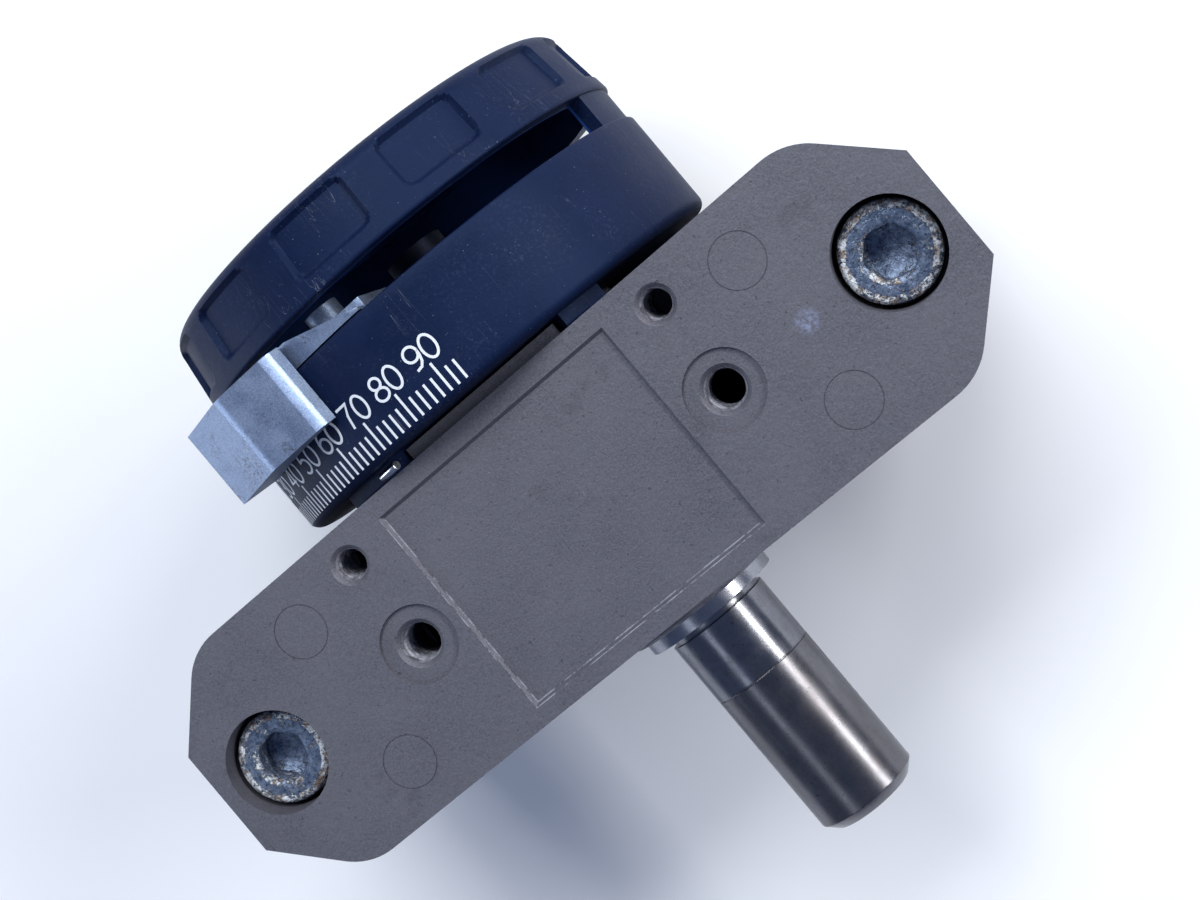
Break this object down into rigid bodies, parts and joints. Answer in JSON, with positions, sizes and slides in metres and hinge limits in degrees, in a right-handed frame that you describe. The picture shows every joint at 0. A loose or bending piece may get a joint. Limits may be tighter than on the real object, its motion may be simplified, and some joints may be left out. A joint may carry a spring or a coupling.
{
  "type": "rotary pneumatic actuator",
  "caption": "Semi-rotary vane drive with a split eared housing, a plain output shaft with pilot boss, side air ports and a slotted scale cover with adjustable end stops.",
  "frame": {"origin": "on the shaft axis in the front mounting face, at the base of the pilot ring", "axes": "-Y out along the output shaft, +X along the long axis of the housing, +Z out of the port face"},
  "size_m": [0.0944, 0.0846, 0.0552],
  "materials": {
    "housing": "blasted die casting, matte",
    "gasket": "matte",
    "corroded_screw": "zinc plated, corroded in the socket",
    "pin_steel": "ground",
    "pilot_alloy": "cast and turned, dull",
    "collar_steel": "turned",
    "seal_rubber": "matte",
    "bronze": "sintered",
    "spring_steel": "dark, oiled",
    "brass_shim": "rolled",
    "shaft_steel": "ground, stained",
    "vane_alloy": "machined",
    "lever_steel": "phosphated",
    "buffer_rubber": "satin",
    "zinc_steel": "bright zinc",
    "stop_zinc": "zinc plated, speckled",
    "dark_steel": "black oxide, oiled",
    "ring_steel": "black oxide",
    "cover_plastic": "satin, scratched"
  },
  "bodies": {
    "housing": {"label_half": "housing", "rear_half": "housing", "body_gasket": "gasket", "body_screws": "corroded_screw", "dowel_pins": "pin_steel", "pilot_ring": "pilot_alloy", "shaft_collar": "collar_steel", "front_seal": "seal_rubber", "front_bush": "bronze", "rear_bush": "bronze", "rear_seal": "seal_rubber", "seal_circlip": "spring_steel", "stator_seal": "seal_rubber", "hub_shims": "brass_shim", "stop_ring": "ring_steel", "scale_cover": "cover_plastic", "end_cap": "cover_plastic", "cover_screws": "zinc_steel", "locating_pin": "pin_steel"},
    "shaft": {"main_shaft": "shaft_steel", "vane": "vane_alloy", "vane_seal": "seal_rubber", "stop_lever": "lever_steel", "lever_buffers": "buffer_rubber", "lever_key": "pin_steel", "lever_washer": "dark_steel", "lever_screw": "dark_steel"},
    "stop_a": {"stop_a": "stop_zinc", "stop_a_screw": "zinc_steel", "stop_a_nut": "zinc_steel"},
    "stop_b": {"stop_b": "stop_zinc", "stop_b_screw": "zinc_steel", "stop_b_nut": "zinc_steel"}
  },
  "joints": [
    {"name": "shaft_turn", "type": "hinge", "parent": "housing", "child": "shaft", "pos_m": [0, 0.0142, 0], "axis": [0, 1, 0], "range_deg": [-66, 66]},
    {"name": "stop_a_set", "type": "hinge", "parent": "housing", "child": "stop_a", "pos_m": [0, 0.04, 0], "axis": [0, 1, 0], "range_deg": [0, 26]},
    {"name": "stop_b_set", "type": "hinge", "parent": "housing", "child": "stop_b", "pos_m": [0, 0.04, 0], "axis": [0, 1, 0], "range_deg": [-26, 0]}
  ]
}
